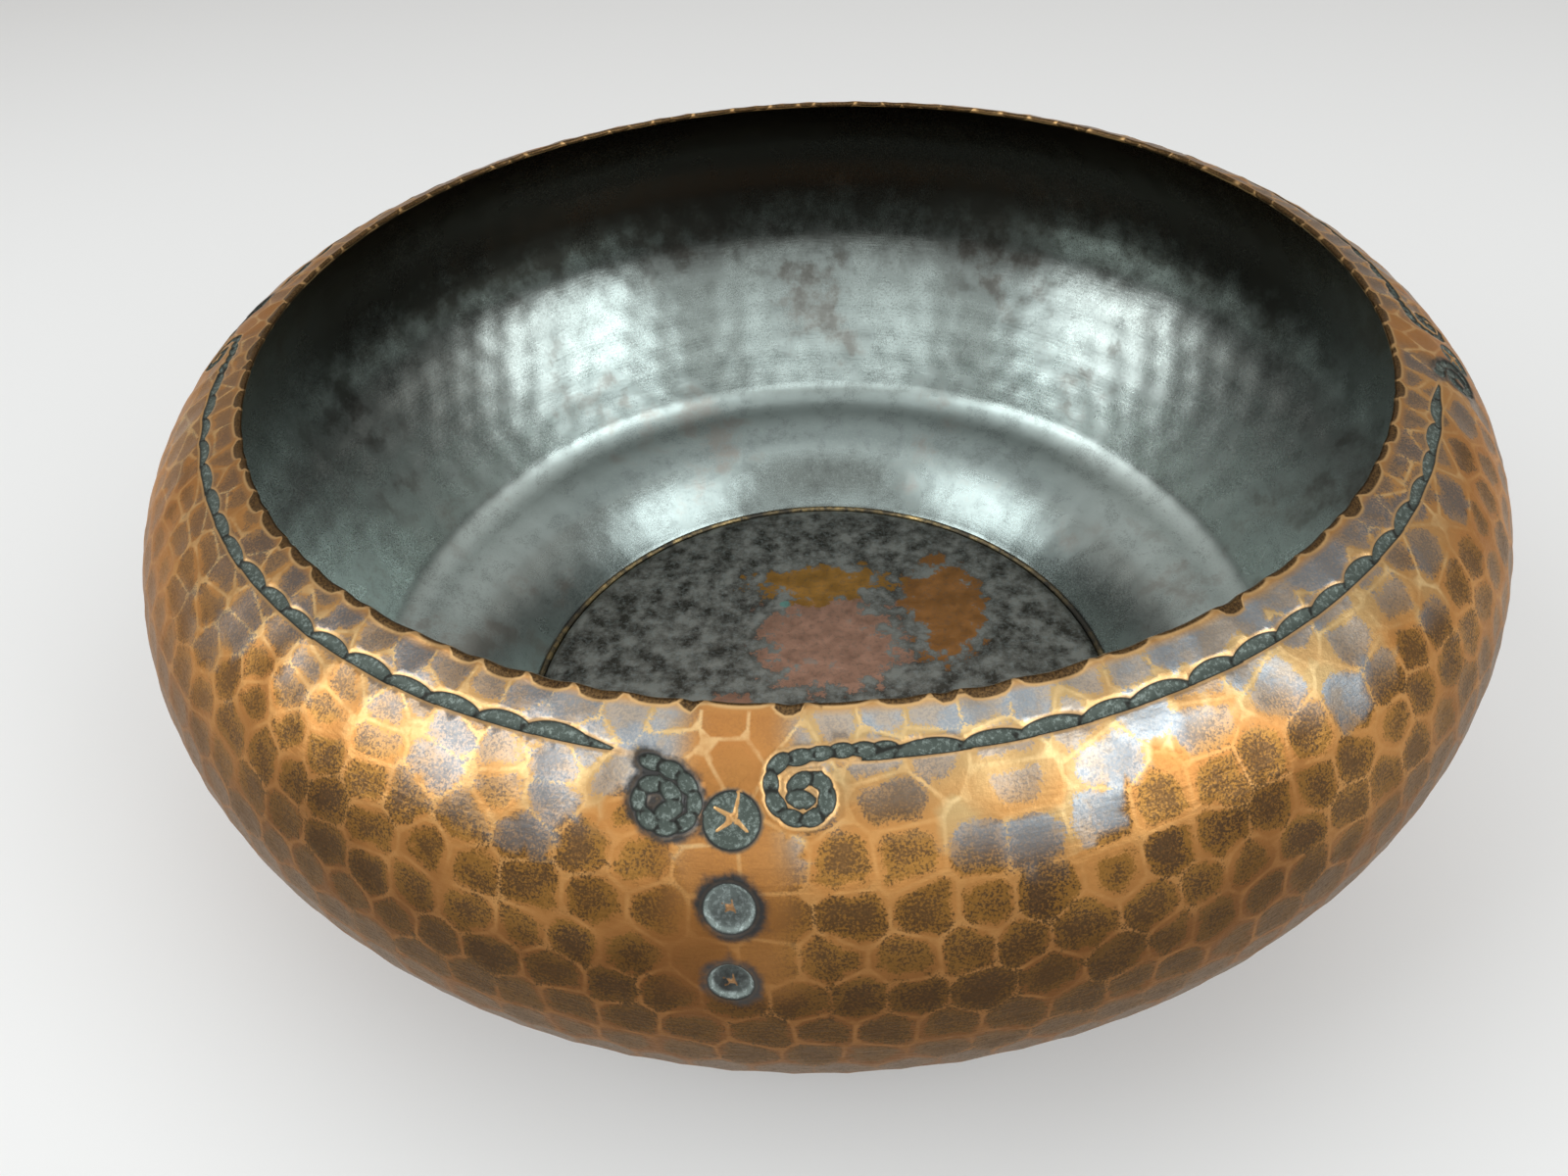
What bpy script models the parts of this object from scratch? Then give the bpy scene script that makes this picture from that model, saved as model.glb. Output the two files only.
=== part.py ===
"""Hammered copper bowl, in metres, +Z up.

The origin is on the floor at the centre of the foot.  The bowl is one raised copper sheet with a rolled-in
rim, a full belly and a stepped bottom.  A flat copper disc closes the bottom from inside, and the bowl
stands on a flat copper ring.  Both are brazed, each with a small fillet of brass spelter.

Every round piece is turned from an outline of (radius, height) points.
"""
import math

import bmesh
import bpy

# The bowl's own sizes.
BELLY_RADIUS = 0.150
BELLY_HEIGHT = 0.0945        # the widest place, above the floor
RIM_RADIUS = 0.1192          # outer edge of the mouth
SHOULDER_REACH = 0.038       # how far the belly's curve comes in over the bowl
SHOULDER_RISE = 0.0415       # height of that curve above the widest place
BELLY_DROP = 0.042           # depth of the curve under the widest place
CREASE_RADIUS = 0.1222       # where the wall turns in to the stepped bottom
CREASE_HEIGHT = 0.0297
CREASE_BEND = 0.0040         # length of each side of the rounded crease
STEP_RADIUS = 0.1005         # the stepped bottom leans towards this radius and height
STEP_HEIGHT = 0.0237
SHEET = 0.0013               # thickness of the raised copper sheet

# The foot, the bottom disc and the brazed seams.
FOOT_HEIGHT = 0.0040
FOOT_RADIUS = 0.0845
FOOT_WIDTH = 0.0070
FOOT_EDGE = 0.0008           # worn edges of the foot ring
LAP_RADIUS = 0.0856          # outer corner of the lap turned in over the foot ring
LAP_WIDTH = 0.0085
LAP_BEND = 0.0010
DISC_RADIUS = 0.0844
DISC_THICKNESS = 0.0016
DISC_EDGE = 0.0003
FILLET = 0.0021              # height of the outer fillet under the wall
GAP = 0.0003                 # clearance between pieces that the spelter fills

SEGMENTS = 64
FULL_TURN = 2.0 * math.pi
MERGE_DISTANCE = 0.00005

LAP_UNDERSIDE = FOOT_HEIGHT + GAP
LAP_TOP = LAP_UNDERSIDE + SHEET
DISC_UNDERSIDE = LAP_TOP + GAP
DISC_TOP = DISC_UNDERSIDE + DISC_THICKNESS


def clear_scene():
    """Remove the objects that are in the file already."""
    for thing in list(bpy.data.objects):
        bpy.data.objects.remove(thing, do_unlink=True)


def metal(name, colour, roughness):
    """Make a plain metal of one colour."""
    material = bpy.data.materials.new(name)
    material.use_nodes = True
    shader = material.node_tree.nodes["Principled BSDF"]
    shader.inputs["Base Color"].default_value = (*colour, 1.0)
    shader.inputs["Roughness"].default_value = roughness
    shader.inputs["Metallic"].default_value = 1.0
    return material


def arc(centre, reach, rise, start, end, steps):
    """Points on an ellipse about centre, between two angles in radians."""
    angles = [start + (end - start) * step / steps for step in range(steps + 1)]
    return [(centre[0] + reach * math.cos(angle), centre[1] + rise * math.sin(angle)) for angle in angles]


def bend(start, corner, end, steps):
    """Points of a smooth bend from start to end that leans towards corner."""
    points = []
    for step in range(steps + 1):
        t = step / steps
        weights = ((1.0 - t) ** 2, 2.0 * t * (1.0 - t), t ** 2)
        points.append(tuple(weights[0] * a + weights[1] * b + weights[2] * c
                            for a, b, c in zip(start, corner, end)))
    return points


def towards(start, end, distance):
    """The point at a distance from start on the way to end."""
    share = distance / math.dist(start, end)
    return tuple(a + share * (b - a) for a, b in zip(start, end))


def turned(name, outline, closed, material):
    """Turn an outline about the Z axis; its outer side runs from top to bottom."""
    count = len(outline)
    edges = [(point, (point + 1) % count) for point in range(count if closed else count - 1)]
    mesh = bpy.data.meshes.new(name)
    mesh.from_pydata([(radius, 0.0, height) for radius, height in outline], edges, [])
    mesh.materials.append(material)
    piece = bpy.data.objects.new(name, mesh)
    bpy.context.collection.objects.link(piece)
    lathe = piece.modifiers.new("Lathe", 'SCREW')
    lathe.axis = 'Z'
    lathe.angle = FULL_TURN
    lathe.steps = SEGMENTS
    lathe.render_steps = SEGMENTS
    lathe.use_merge_vertices = True
    lathe.merge_threshold = MERGE_DISTANCE
    lathe.use_smooth_shade = True
    return piece


def wall_outline():
    """Outer side of the raised sheet: rim, shoulder, belly, wall, crease, stepped bottom and lap."""
    centre = (BELLY_RADIUS - SHOULDER_REACH, BELLY_HEIGHT)
    crease = (CREASE_RADIUS, CREASE_HEIGHT)
    rim_angle = math.acos((RIM_RADIUS - centre[0]) / SHOULDER_REACH)
    upper = arc(centre, SHOULDER_REACH, SHOULDER_RISE, rim_angle, 0.0, 8)

    # The wall is straight from the crease up to where it touches the belly's curve.
    across = (crease[0] - centre[0]) / SHOULDER_REACH
    down = (crease[1] - centre[1]) / BELLY_DROP
    touch_angle = math.atan2(down, across) + math.acos(1.0 / math.hypot(across, down))
    lower = arc(centre, SHOULDER_REACH, BELLY_DROP, 0.0, touch_angle, 4)

    step = (STEP_RADIUS, STEP_HEIGHT)
    lap_corner = (LAP_RADIUS, LAP_UNDERSIDE)
    lap_end = (LAP_RADIUS - LAP_WIDTH, LAP_UNDERSIDE)
    crease_top = towards(crease, lower[-1], CREASE_BEND)
    crease_end = towards(crease, step, CREASE_BEND)
    lap_start = towards(lap_corner, step, LAP_BEND)
    rounded_crease = bend(crease_top, crease, crease_end, 3)
    stepped_bottom = bend(crease_end, step, lap_start, 7)
    lap = bend(lap_start, lap_corner, towards(lap_corner, lap_end, LAP_BEND), 2)
    return upper + lower[1:] + rounded_crease + stepped_bottom[1:] + lap[1:] + [lap_end]


def make_wall(material):
    """The raised sheet, thickened inwards."""
    wall = turned("bowl_wall", wall_outline(), False, material)
    sheet = wall.modifiers.new("Sheet", 'SOLIDIFY')
    sheet.thickness = SHEET
    sheet.offset = -1.0
    sheet.use_even_offset = True
    return wall


def make_disc(material):
    """The flat bottom disc, laid on the lap."""
    mesh = bpy.data.meshes.new("base_disc")
    shape = bmesh.new()
    bmesh.ops.create_cone(shape, cap_ends=True, cap_tris=False, segments=SEGMENTS,
                          radius1=DISC_RADIUS, radius2=DISC_RADIUS, depth=DISC_THICKNESS)
    rims = [edge for edge in shape.edges if len({vertex.co.z > 0.0 for vertex in edge.verts}) == 1]
    bmesh.ops.bevel(shape, geom=rims, offset=DISC_EDGE, segments=1, affect='EDGES')
    shape.to_mesh(mesh)
    shape.free()
    mesh.materials.append(material)
    disc = bpy.data.objects.new("base_disc", mesh)
    disc.location = (0.0, 0.0, DISC_UNDERSIDE + DISC_THICKNESS / 2.0)
    bpy.context.collection.objects.link(disc)
    mesh.shade_smooth()
    mesh.set_sharp_from_angle(angle=math.radians(30.0))
    return disc


def make_foot_ring(material):
    """The flat ring that the bowl stands on, with worn edges."""
    inner = FOOT_RADIUS - FOOT_WIDTH
    outline = [
        (FOOT_RADIUS, FOOT_HEIGHT), (FOOT_RADIUS, FOOT_EDGE), (FOOT_RADIUS - FOOT_EDGE, 0.0),
        (inner + FOOT_EDGE, 0.0), (inner, FOOT_EDGE), (inner, FOOT_HEIGHT),
    ]
    return turned("foot_ring", outline, True, material)


def make_base_seam(material):
    """Spelter between the edge of the disc and the foot of the wall, seen inside as a thin line."""
    inner = DISC_RADIUS + GAP
    slope = math.atan2(STEP_HEIGHT - LAP_UNDERSIDE, STEP_RADIUS - LAP_RADIUS)
    wall_face = SHEET + GAP

    def beside_wall(height):
        """Radius of the seam's outer side, one gap inside the sheet, at a height."""
        return LAP_RADIUS + (height - LAP_UNDERSIDE) / math.tan(slope) - wall_face / math.sin(slope)

    top = DISC_TOP + 2.0 * GAP
    outline = [
        (beside_wall(top), top), (beside_wall(DISC_UNDERSIDE + 2.0 * GAP), DISC_UNDERSIDE + 2.0 * GAP),
        (inner, DISC_UNDERSIDE + 2.0 * GAP), (inner, DISC_TOP),
    ]
    return turned("base_seam", outline, True, material)


def make_foot_seam(material):
    """Spelter fillet in the corner between the foot ring and the underside of the wall."""
    inner = FOOT_RADIUS + GAP
    slope = math.atan2(STEP_HEIGHT - LAP_UNDERSIDE, STEP_RADIUS - LAP_RADIUS)
    under_lap = (LAP_RADIUS, LAP_UNDERSIDE - GAP)
    outer = (LAP_RADIUS + FILLET * math.cos(slope), under_lap[1] + FILLET * math.sin(slope) - GAP)
    bottom = (inner, FOOT_HEIGHT - FILLET)
    hollow = bend(outer, (inner + FILLET / 2.0, FOOT_HEIGHT - FILLET / 3.0), bottom, 3)
    return turned("foot_seam", hollow + [(inner, under_lap[1]), under_lap], True, material)


def build():
    """Make the five pieces."""
    clear_scene()
    hammered_copper = metal("hammered_copper", (0.60, 0.31, 0.19), 0.34)
    dark_copper = metal("dark_copper", (0.13, 0.10, 0.09), 0.42)
    brass_spelter = metal("brass_spelter", (0.62, 0.45, 0.20), 0.38)
    make_wall(hammered_copper)
    make_disc(dark_copper)
    make_foot_ring(hammered_copper)
    make_base_seam(brass_spelter)
    make_foot_seam(brass_spelter)


build()
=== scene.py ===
"""A hand-raised copper bowl: hammered wall with a chased line and scrolls, set-in bottom and brazed foot."""

import math
import random

import bmesh
import bpy
import numpy as np
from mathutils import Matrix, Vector
from mathutils.geometry import delaunay_2d_cdt
from mathutils.kdtree import KDTree


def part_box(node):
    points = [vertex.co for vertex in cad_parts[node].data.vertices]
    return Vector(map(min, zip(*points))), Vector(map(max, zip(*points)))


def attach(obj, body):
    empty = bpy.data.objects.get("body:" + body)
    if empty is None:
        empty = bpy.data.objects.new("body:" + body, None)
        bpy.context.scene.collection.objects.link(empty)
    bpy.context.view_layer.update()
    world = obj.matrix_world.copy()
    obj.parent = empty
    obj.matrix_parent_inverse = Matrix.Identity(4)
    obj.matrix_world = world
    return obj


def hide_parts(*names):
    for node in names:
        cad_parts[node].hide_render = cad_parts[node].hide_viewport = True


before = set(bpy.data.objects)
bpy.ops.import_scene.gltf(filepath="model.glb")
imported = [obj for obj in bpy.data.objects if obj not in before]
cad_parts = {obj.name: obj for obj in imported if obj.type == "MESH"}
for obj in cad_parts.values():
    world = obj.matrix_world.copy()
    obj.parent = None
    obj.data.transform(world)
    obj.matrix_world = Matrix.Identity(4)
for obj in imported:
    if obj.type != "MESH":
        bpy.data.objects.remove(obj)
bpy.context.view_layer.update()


# ---------------------------------------------------------------- the wall's outline
# The wall is one copper sheet, raised over stakes from a flat disc.  Its outline runs from the mouth down the
# outside, under the lap, and back up the inside.  It is kept as a curve that the flat sheet is wrapped on.

wall_low, wall_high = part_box("bowl_wall")
disc_low, disc_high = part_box("base_disc")
foot_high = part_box("foot_ring")[1]
belly_radius = wall_high[0]
mouth_height = wall_high[2]
lap_height = wall_low[2]
floor_height = disc_high[2]

SHEET = 0.0013               # thickness of the copper
SHOULDER_REACH = 0.038       # the belly's curve: how far it comes in, how far it rises and drops
SHOULDER_RISE = 0.0415
BELLY_DROP = 0.042
MOUTH_RADIUS = 0.1192
CREASE = (0.1222, 0.0297)    # where the wall turns in to the stepped bottom
STEP = (0.1005, 0.0237)      # the stepped bottom leans towards this radius and height
LAP_CORNER = 0.0856
LAP_WIDTH = 0.0085
CREASE_BEND = 0.0058
LAP_BEND = 0.0010
LIP_BEND = 0.00045           # rounding of the sheet's two edges at the mouth


def arc(centre, reach, rise, start, end, steps):
    """Points on an ellipse about centre, between two angles in radians."""
    angles = np.linspace(start, end, steps + 1)
    return [np.array((centre[0] + reach * math.cos(a), centre[1] + rise * math.sin(a))) for a in angles]


def bend(start, corner, end, steps):
    """Points of a smooth bend from start to end that leans towards corner."""
    shares = np.linspace(0, 1, steps + 1)
    return [(1 - t) ** 2 * start + 2 * t * (1 - t) * corner + t * t * end for t in shares]


def towards(start, end, distance):
    """The point at a distance from start on the way to end."""
    return start + (end - start) * distance / np.linalg.norm(end - start)


def along(points):
    """Distance along a line of points, from its first point to each."""
    steps = np.linalg.norm(np.diff(points, axis=0), axis=1)
    return np.concatenate([[0.0], np.cumsum(steps)])


def outside_outline():
    """Outer side of the sheet as (radius, height) points, from the mouth to the end of the lap."""
    crease, step = np.array(CREASE), np.array(STEP)
    rise = SHOULDER_RISE
    mouth_angle = math.acos((MOUTH_RADIUS - belly_radius + SHOULDER_REACH) / SHOULDER_REACH)
    centre = np.array((belly_radius - SHOULDER_REACH, mouth_height - rise * math.sin(mouth_angle)))
    upper = arc(centre, SHOULDER_REACH, rise, mouth_angle, 0.0, 120)
    across, down = (crease - centre) / (SHOULDER_REACH, BELLY_DROP)
    touch_angle = math.atan2(down, across) + math.acos(1.0 / math.hypot(across, down))
    lower = arc(centre, SHOULDER_REACH, BELLY_DROP, 0.0, touch_angle, 50)
    lap_corner = np.array((LAP_CORNER, lap_height))
    lap_end = lap_corner - (LAP_WIDTH, 0.0)
    crease_top = towards(crease, lower[-1], CREASE_BEND)
    crease_end = towards(crease, step, CREASE_BEND)
    lap_start = towards(lap_corner, step, LAP_BEND)
    straight = [lower[-1] + (crease_top - lower[-1]) * t for t in np.linspace(0, 1, 60)]
    return np.array(upper + lower[1:] + straight[1:] + bend(crease_top, crease, crease_end, 12)[1:]
                    + bend(crease_end, step, lap_start, 90)[1:]
                    + bend(lap_start, lap_corner, towards(lap_corner, lap_end, LAP_BEND), 6)[1:] + [lap_end])


def side_normals(points):
    """Unit normals of a line of points that runs down its outer side."""
    slopes = np.gradient(points, axis=0)
    slopes /= np.linalg.norm(slopes, axis=1)[:, None]
    return np.stack([-slopes[:, 1], slopes[:, 0]], axis=1)


outer_line = outside_outline()
inner_line = (outer_line - side_normals(outer_line) * SHEET)[::-1]
rounded_lip = []
for before, corner, after in ((inner_line[-2], inner_line[-1], outer_line[0]),
                              (inner_line[-1], outer_line[0], outer_line[1])):
    rounded_lip += bend(towards(corner, before, LIP_BEND), corner, towards(corner, after, LIP_BEND), 5)
outline = np.array(list(outer_line[1:]) + list(inner_line[:-1]) + rounded_lip)
outline_length = along(np.vstack([outline, outline[:1]]))
outer_end = outline_length[len(outer_line) - 2]
inner_start = outline_length[len(outer_line) - 1]
inner_end = outline_length[len(outer_line) + len(inner_line) - 3]
sheet_length = outline_length[-1]


# ---------------------------------------------------------------- the planishing blows
# The outside is planished in rows with a slightly domed hammer.  Each blow leaves a flat, and the metal
# squeezed up between the flats stands as ridges.  The rows are laid out on the sheet unrolled flat.

UNROLL_RADIUS = 0.140        # the flat sheet's width is one turn at this radius
sheet_width = 2 * math.pi * UNROLL_RADIUS
# Where the four motifs stand, given as turns from the front towards +X.
MOTIF_TURNS = [math.radians(angle) for angle in (-5.5, 79.0, 173.0, 268.0)]
NEXT_TURNS = MOTIF_TURNS[1:] + [MOTIF_TURNS[0] + 2 * math.pi]
QUIET_RADIUS = 0.0125        # the smith planished lightly around the punches of a motif
QUIET_DEPTH = 0.047
EDGE_ROWS = ((0.0032, 0.0074), (0.0074, 0.0098))    # distance from the mouth and width of a blow
EDGE_SCATTER = 0.0013        # how far a blow strays from its row: near the mouth, in a quarter, elsewhere
QUARTER_SCATTER = 0.0005
ROW_SCATTER = 0.0008
WIDE_ROW = ((0.0142, 0.0150),)       # below the line, some quarters have one wide row
TWO_ROWS = ((0.0122, 0.0098), (0.0172, 0.0102))
ROW_START = 0.0228
ROW_PITCH = 0.0073
BLOW_WIDTH = 0.0092
INSIDE_BLOW = 0.0110
BLOW_LIFT = 0.0022           # a weaker blow leaves a smaller, shallower flat

blow_dice = random.Random(41)


def radius_at(distance):
    """Radius of the bowl at a distance along the outline."""
    return np.interp(distance, outline_length[:-1], outline[:, 0])


def blow_row(distance, width, start, scatter, share=1.0):
    """Blow centres along a share of a turn from start, as (along the turn, along the outline, lift)."""
    count = round(2 * math.pi * share * float(radius_at(distance)) / width)
    row = []
    for index in range(count):
        place = (start + share * (index + 0.5 + blow_dice.uniform(-0.17, 0.17)) / count) % 1.0
        row.append((place * sheet_width, distance + blow_dice.uniform(-scatter, scatter),
                    blow_dice.uniform(0.0, BLOW_LIFT)))
    return row


def all_rows(first, last, pitch, width):
    """Rows of blows from one distance to another, each started anywhere on the turn."""
    blows = []
    for number in range(round((last - first) / pitch) + 1):
        blows += blow_row(first + number * pitch, width, blow_dice.random(), ROW_SCATTER)
    return blows


outside_blows = []
for distance, width in EDGE_ROWS:
    outside_blows += blow_row(distance, width, blow_dice.random(), EDGE_SCATTER)
for number, (turn, next_turn) in enumerate(zip(MOTIF_TURNS, NEXT_TURNS)):
    start, share = turn / (2 * math.pi), (next_turn - turn) / (2 * math.pi)
    for distance, width in (TWO_ROWS if number % 2 else WIDE_ROW):
        outside_blows += blow_row(distance, width, start, QUARTER_SCATTER, share)
outside_blows += all_rows(ROW_START, outer_end - 0.002, ROW_PITCH, BLOW_WIDTH)
inside_blows = all_rows(inner_start + 0.012, inner_end - 0.004, INSIDE_BLOW * 0.8, INSIDE_BLOW)
blows = np.array(outside_blows + inside_blows)


def with_wrapped_copies(points, margin=0.03):
    """The points, and copies of those near the ends of the turn, a whole turn away."""
    turn = np.zeros(points.shape[1])
    turn[0] = sheet_width
    near_start = points[points[:, 0] < margin] + turn
    near_end = points[points[:, 0] > sheet_width - margin] - turn
    return np.vstack([points, near_start, near_end])


def triangles_between(points):
    """Delaunay triangles over flat points, as an array of index triples."""
    found = delaunay_2d_cdt([Vector(point) for point in points], [], [], 0, 1e-7)
    assert len(found[0]) == len(points)
    order = np.array([ids[0] for ids in found[3]])
    return order[np.array(found[2])]


def ridge_lines(centres):
    """Ends of the ridges between blows: lines at equal reach from two neighbours, each an (a, b) pair."""
    flat, lift = centres[:, :2], centres[:, 2]
    corners = triangles_between(flat)
    a, b, c = (flat[corners[:, i]] for i in range(3))
    power = (flat ** 2).sum(axis=1) + lift ** 2
    pa, pb, pc = (power[corners[:, i]] for i in range(3))
    ab, ac = b - a, c - a
    area = 2 * (ab[:, 0] * ac[:, 1] - ab[:, 1] * ac[:, 0])
    meet = np.stack([((pb - pa) * ac[:, 1] - (pc - pa) * ab[:, 1]) / area,
                     ((pc - pa) * ab[:, 0] - (pb - pa) * ac[:, 0]) / area], axis=1)
    sides = {}
    for number, triangle in enumerate(corners):
        for first, second in ((0, 1), (1, 2), (2, 0)):
            sides.setdefault(frozenset((triangle[first], triangle[second])), []).append(number)
    ends = [pair for pair in sides.values() if len(pair) == 2]
    lines = np.array([(meet[one], meet[two]) for one, two in ends])
    inside = np.abs(lines[:, :, 0] - sheet_width / 2).max(axis=1) < sheet_width / 2 + 0.012
    length = np.linalg.norm(lines[:, 0] - lines[:, 1], axis=1)
    return lines[inside & (length < 0.03)]


# The first and the last row are mirrored past the sheet's edges, so that their ridges reach the edges.
outside_centres = np.array(outside_blows)
first_row = outside_centres[outside_centres[:, 1] < 0.0032] * (1, -1, 1) - (0, 0.002, 0)
last_row = outside_centres[outside_centres[:, 1] > outer_end - ROW_PITCH] * (1, -1, 1) + (0, 2 * outer_end, 0)
ridges = ridge_lines(with_wrapped_copies(np.vstack([outside_centres, first_row, last_row])))


# ---------------------------------------------------------------- the chased line, scrolls and punches
# A line of half-moon chisel marks runs round the shoulder between four motifs.  A motif is two scrolls made
# with short overlapping marks, and three round punches under each other, each with a small raised star.

LINE_DISTANCE = 0.0090       # straight edge of the half-moons, from the mouth
MOON_PITCH = 0.0089
MOON_LENGTH = 0.0106
MOON_WIDTH = 0.0027
LINE_DEPTH = 0.00050
LINE_START = math.radians(7.1)       # how far from a motif's middle the line starts and ends
LEAF_LENGTH = 0.0125         # the line's first and last marks are leaves that run out to a point
SCRIBE_LENGTH = 0.0046       # a fine scribed stroke runs on from the point
SCRIBE_WIDTH = 0.00030
SCRIBE_DEPTH = 0.00012
STROKE_LENGTH = 0.0043       # one mark of a scroll
STROKE_WIDTH = 0.0026
STROKE_STEP = 0.0030
SCROLL_DEPTH = 0.00050
# A scroll's run from its outer end inwards, in millimetres along the turn and from the mouth.
LEFT_SCROLL = ((-11.8, 9.8), (-8.7, 10.7), (-6.3, 12.6), (-5.3, 15.0), (-6.1, 17.3), (-8.8, 18.6),
               (-11.8, 17.8), (-13.3, 15.3), (-12.3, 13.1), (-9.9, 12.9), (-8.1, 14.6), (-9.0, 16.2),
               (-10.8, 15.3))
RIGHT_SCROLL = ((20.8, 7.5), (16.8, 7.2), (13.0, 7.4), (9.0, 8.0), (5.9, 9.1), (5.2, 12.2), (6.4, 15.0),
                (8.8, 16.5), (11.7, 16.2), (13.0, 14.2), (12.4, 11.8), (10.1, 11.0), (8.5, 12.2),
                (9.0, 13.7), (10.8, 13.8))
SCROLL_STAIN = 0.0020        # width of the stain round the left scroll
WALL_WIDTH = 0.00040         # width of a mark's sloping side
SEAM_RISE = 0.45             # a ridge stands between two overlapping strokes, as a share of their depth
SEAM_WIDTH = 0.0004
MARK_REACH = 0.0015          # how far from a mark's edge its metal shows it
STAIN_REACH = 0.0045         # no mark's stain goes farther than this
ON_EDGE = 0.00004
CUP_WIDTH = 0.0011           # a round punch is a cup with a wider side
# Distance from the mouth, radius, depth, width of the stain around it, and size of its star.
PUNCHES = ((0.0169, 0.0041, 0.00050, 0.0009, 1.0), (0.0292, 0.0038, 0.00085, 0.0030, 0.40),
           (0.0412, 0.0034, 0.00090, 0.0030, 0.40))
STAR_CENTRE = (0.0004, -0.0003)
STAR_TIPS = ((0.0008, -0.0035), (-0.0027, -0.0018), (-0.0021, 0.0016), (0.0022, 0.0014))
STAR_WIDTH = 0.00036
STAR_SIDE = 0.0003           # width of a star's sloping side
STAR_RISE = 0.85             # a star stands this share of the punch's depth

chase_dice = random.Random(7)


def flat_width(width, distance):
    """Width on the unrolled sheet of something this wide on the bowl."""
    return width * UNROLL_RADIUS / float(radius_at(distance))


def mark(kind, across, distance, length, width, turn=0.0, depth=LINE_DEPTH, halo=0.0, way=1):
    """One mark: kind, middle, half sizes, turn, depth, width of its stain, and the way a leaf points."""
    return {"kind": kind, "x": across, "y": distance, "a": length / 2, "b": width / 2, "turn": turn,
            "depth": depth, "halo": halo, "way": way, "stretch": flat_width(1.0, distance)}


def smooth_run(points, steps=12):
    """A smooth curve through points, as an array with steps points for each stretch."""
    points = np.array(points, float)
    ends = np.vstack([2 * points[0] - points[1], points, 2 * points[-1] - points[-2]])
    run = []
    for before, start, end, after in zip(ends, ends[1:], ends[2:], ends[3:]):
        square = 2 * before - 5 * start + 4 * end - after
        cube = 3 * start - before - 3 * end + after
        for t in np.linspace(0, 1, steps, endpoint=False):
            run.append(0.5 * (2 * start + (end - before) * t + square * t ** 2 + cube * t ** 3))
    return np.array(run + [points[-1]])


def marks_on_path(path, depth, halo, middle):
    """Short overlapping marks along a path of true offsets from a motif's middle."""
    lengths = along(path)
    marks = []

    def on_path(distance):
        """The place at a distance along the path."""
        return np.array([np.interp(distance, lengths, path[:, i]) for i in range(2)])

    for number in range(int(lengths[-1] / STROKE_STEP) + 1):
        here = number * STROKE_STEP
        x, y = on_path(here)
        slope = on_path(min(here + 0.0005, lengths[-1])) - on_path(max(here - 0.0005, 0.0))
        size = chase_dice.uniform(0.92, 1.08)
        turn = math.atan2(slope[1], slope[0]) + chase_dice.uniform(-0.1, 0.1)
        marks.append(mark("oval", middle + flat_width(x, y), y, STROKE_LENGTH * size, STROKE_WIDTH * size,
                          turn, depth, halo))
    return marks


marks, star_arms = [], []
line_radius = float(radius_at(LINE_DISTANCE))
for motif, next_motif in zip(MOTIF_TURNS, NEXT_TURNS):
    middle = motif * UNROLL_RADIUS
    # The left scroll starts free; the right one is the end of the line, curled down and in.
    for scroll, halo in ((LEFT_SCROLL, SCROLL_STAIN), (RIGHT_SCROLL, 0.0)):
        marks += marks_on_path(smooth_run(scroll) / 1000, SCROLL_DEPTH, halo, middle)
    for distance, radius, depth, halo, star_size in PUNCHES:
        marks.append(mark("disc", middle, distance, 2 * radius, 2 * radius, 0.0, depth, halo))
        hub = (middle + flat_width(STAR_CENTRE[0], distance), distance + STAR_CENTRE[1])
        for x, y in STAR_TIPS:
            size = star_size * chase_dice.uniform(0.9, 1.05)
            tip = (middle + flat_width(x * size, distance), distance + y * size)
            star_arms.append((hub, tip, STAR_WIDTH * star_size))
    # Half-moons from this motif to the next, from a leaf to a leaf, with a scribed stroke after the last.
    line_start = (motif + LINE_START) * line_radius
    run = (next_motif - motif - 2 * LINE_START) * line_radius
    for here, way in ((line_start + 0.5 * LEAF_LENGTH, -1), (line_start + run - 0.5 * LEAF_LENGTH, 1)):
        marks.append(mark("leaf", here / line_radius * UNROLL_RADIUS, LINE_DISTANCE, LEAF_LENGTH,
                          2 * MOON_WIDTH, way=way))
    scribe = (line_start + run + 0.3 * SCRIBE_LENGTH) / line_radius * UNROLL_RADIUS
    marks.append(mark("oval", scribe, LINE_DISTANCE + 0.0001, SCRIBE_LENGTH, SCRIBE_WIDTH, 0.03,
                      SCRIBE_DEPTH))
    moons_run = run - 1.1 * LEAF_LENGTH
    count = round(moons_run / MOON_PITCH)
    for number in range(count):
        share = (number + 0.5 + chase_dice.uniform(-0.06, 0.06)) / count
        here = line_start + 0.55 * LEAF_LENGTH + moons_run * share
        length = MOON_LENGTH * chase_dice.uniform(0.95, 1.1)
        marks.append(mark("moon", here / line_radius * UNROLL_RADIUS,
                          LINE_DISTANCE + chase_dice.uniform(-0.00008, 0.00008), length,
                          2 * MOON_WIDTH * chase_dice.uniform(0.88, 1.08), chase_dice.uniform(-0.01, 0.03)))


def round_turn(across, middle):
    """How far flat places lie from a middle, the shorter way round the turn."""
    return (across - middle + sheet_width / 2) % sheet_width - sheet_width / 2


def leaf_height(one, u):
    """How high a leaf is at each place along it: rounded at one end, run out to a point at the other."""
    share = np.clip((one["way"] * u + one["a"]) / (2 * one["a"]), 0.0, 1.0)
    return one["b"] * np.minimum(1.0, np.sqrt(share / 0.22)) * (1 - share) ** 0.85 * 1.15


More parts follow.
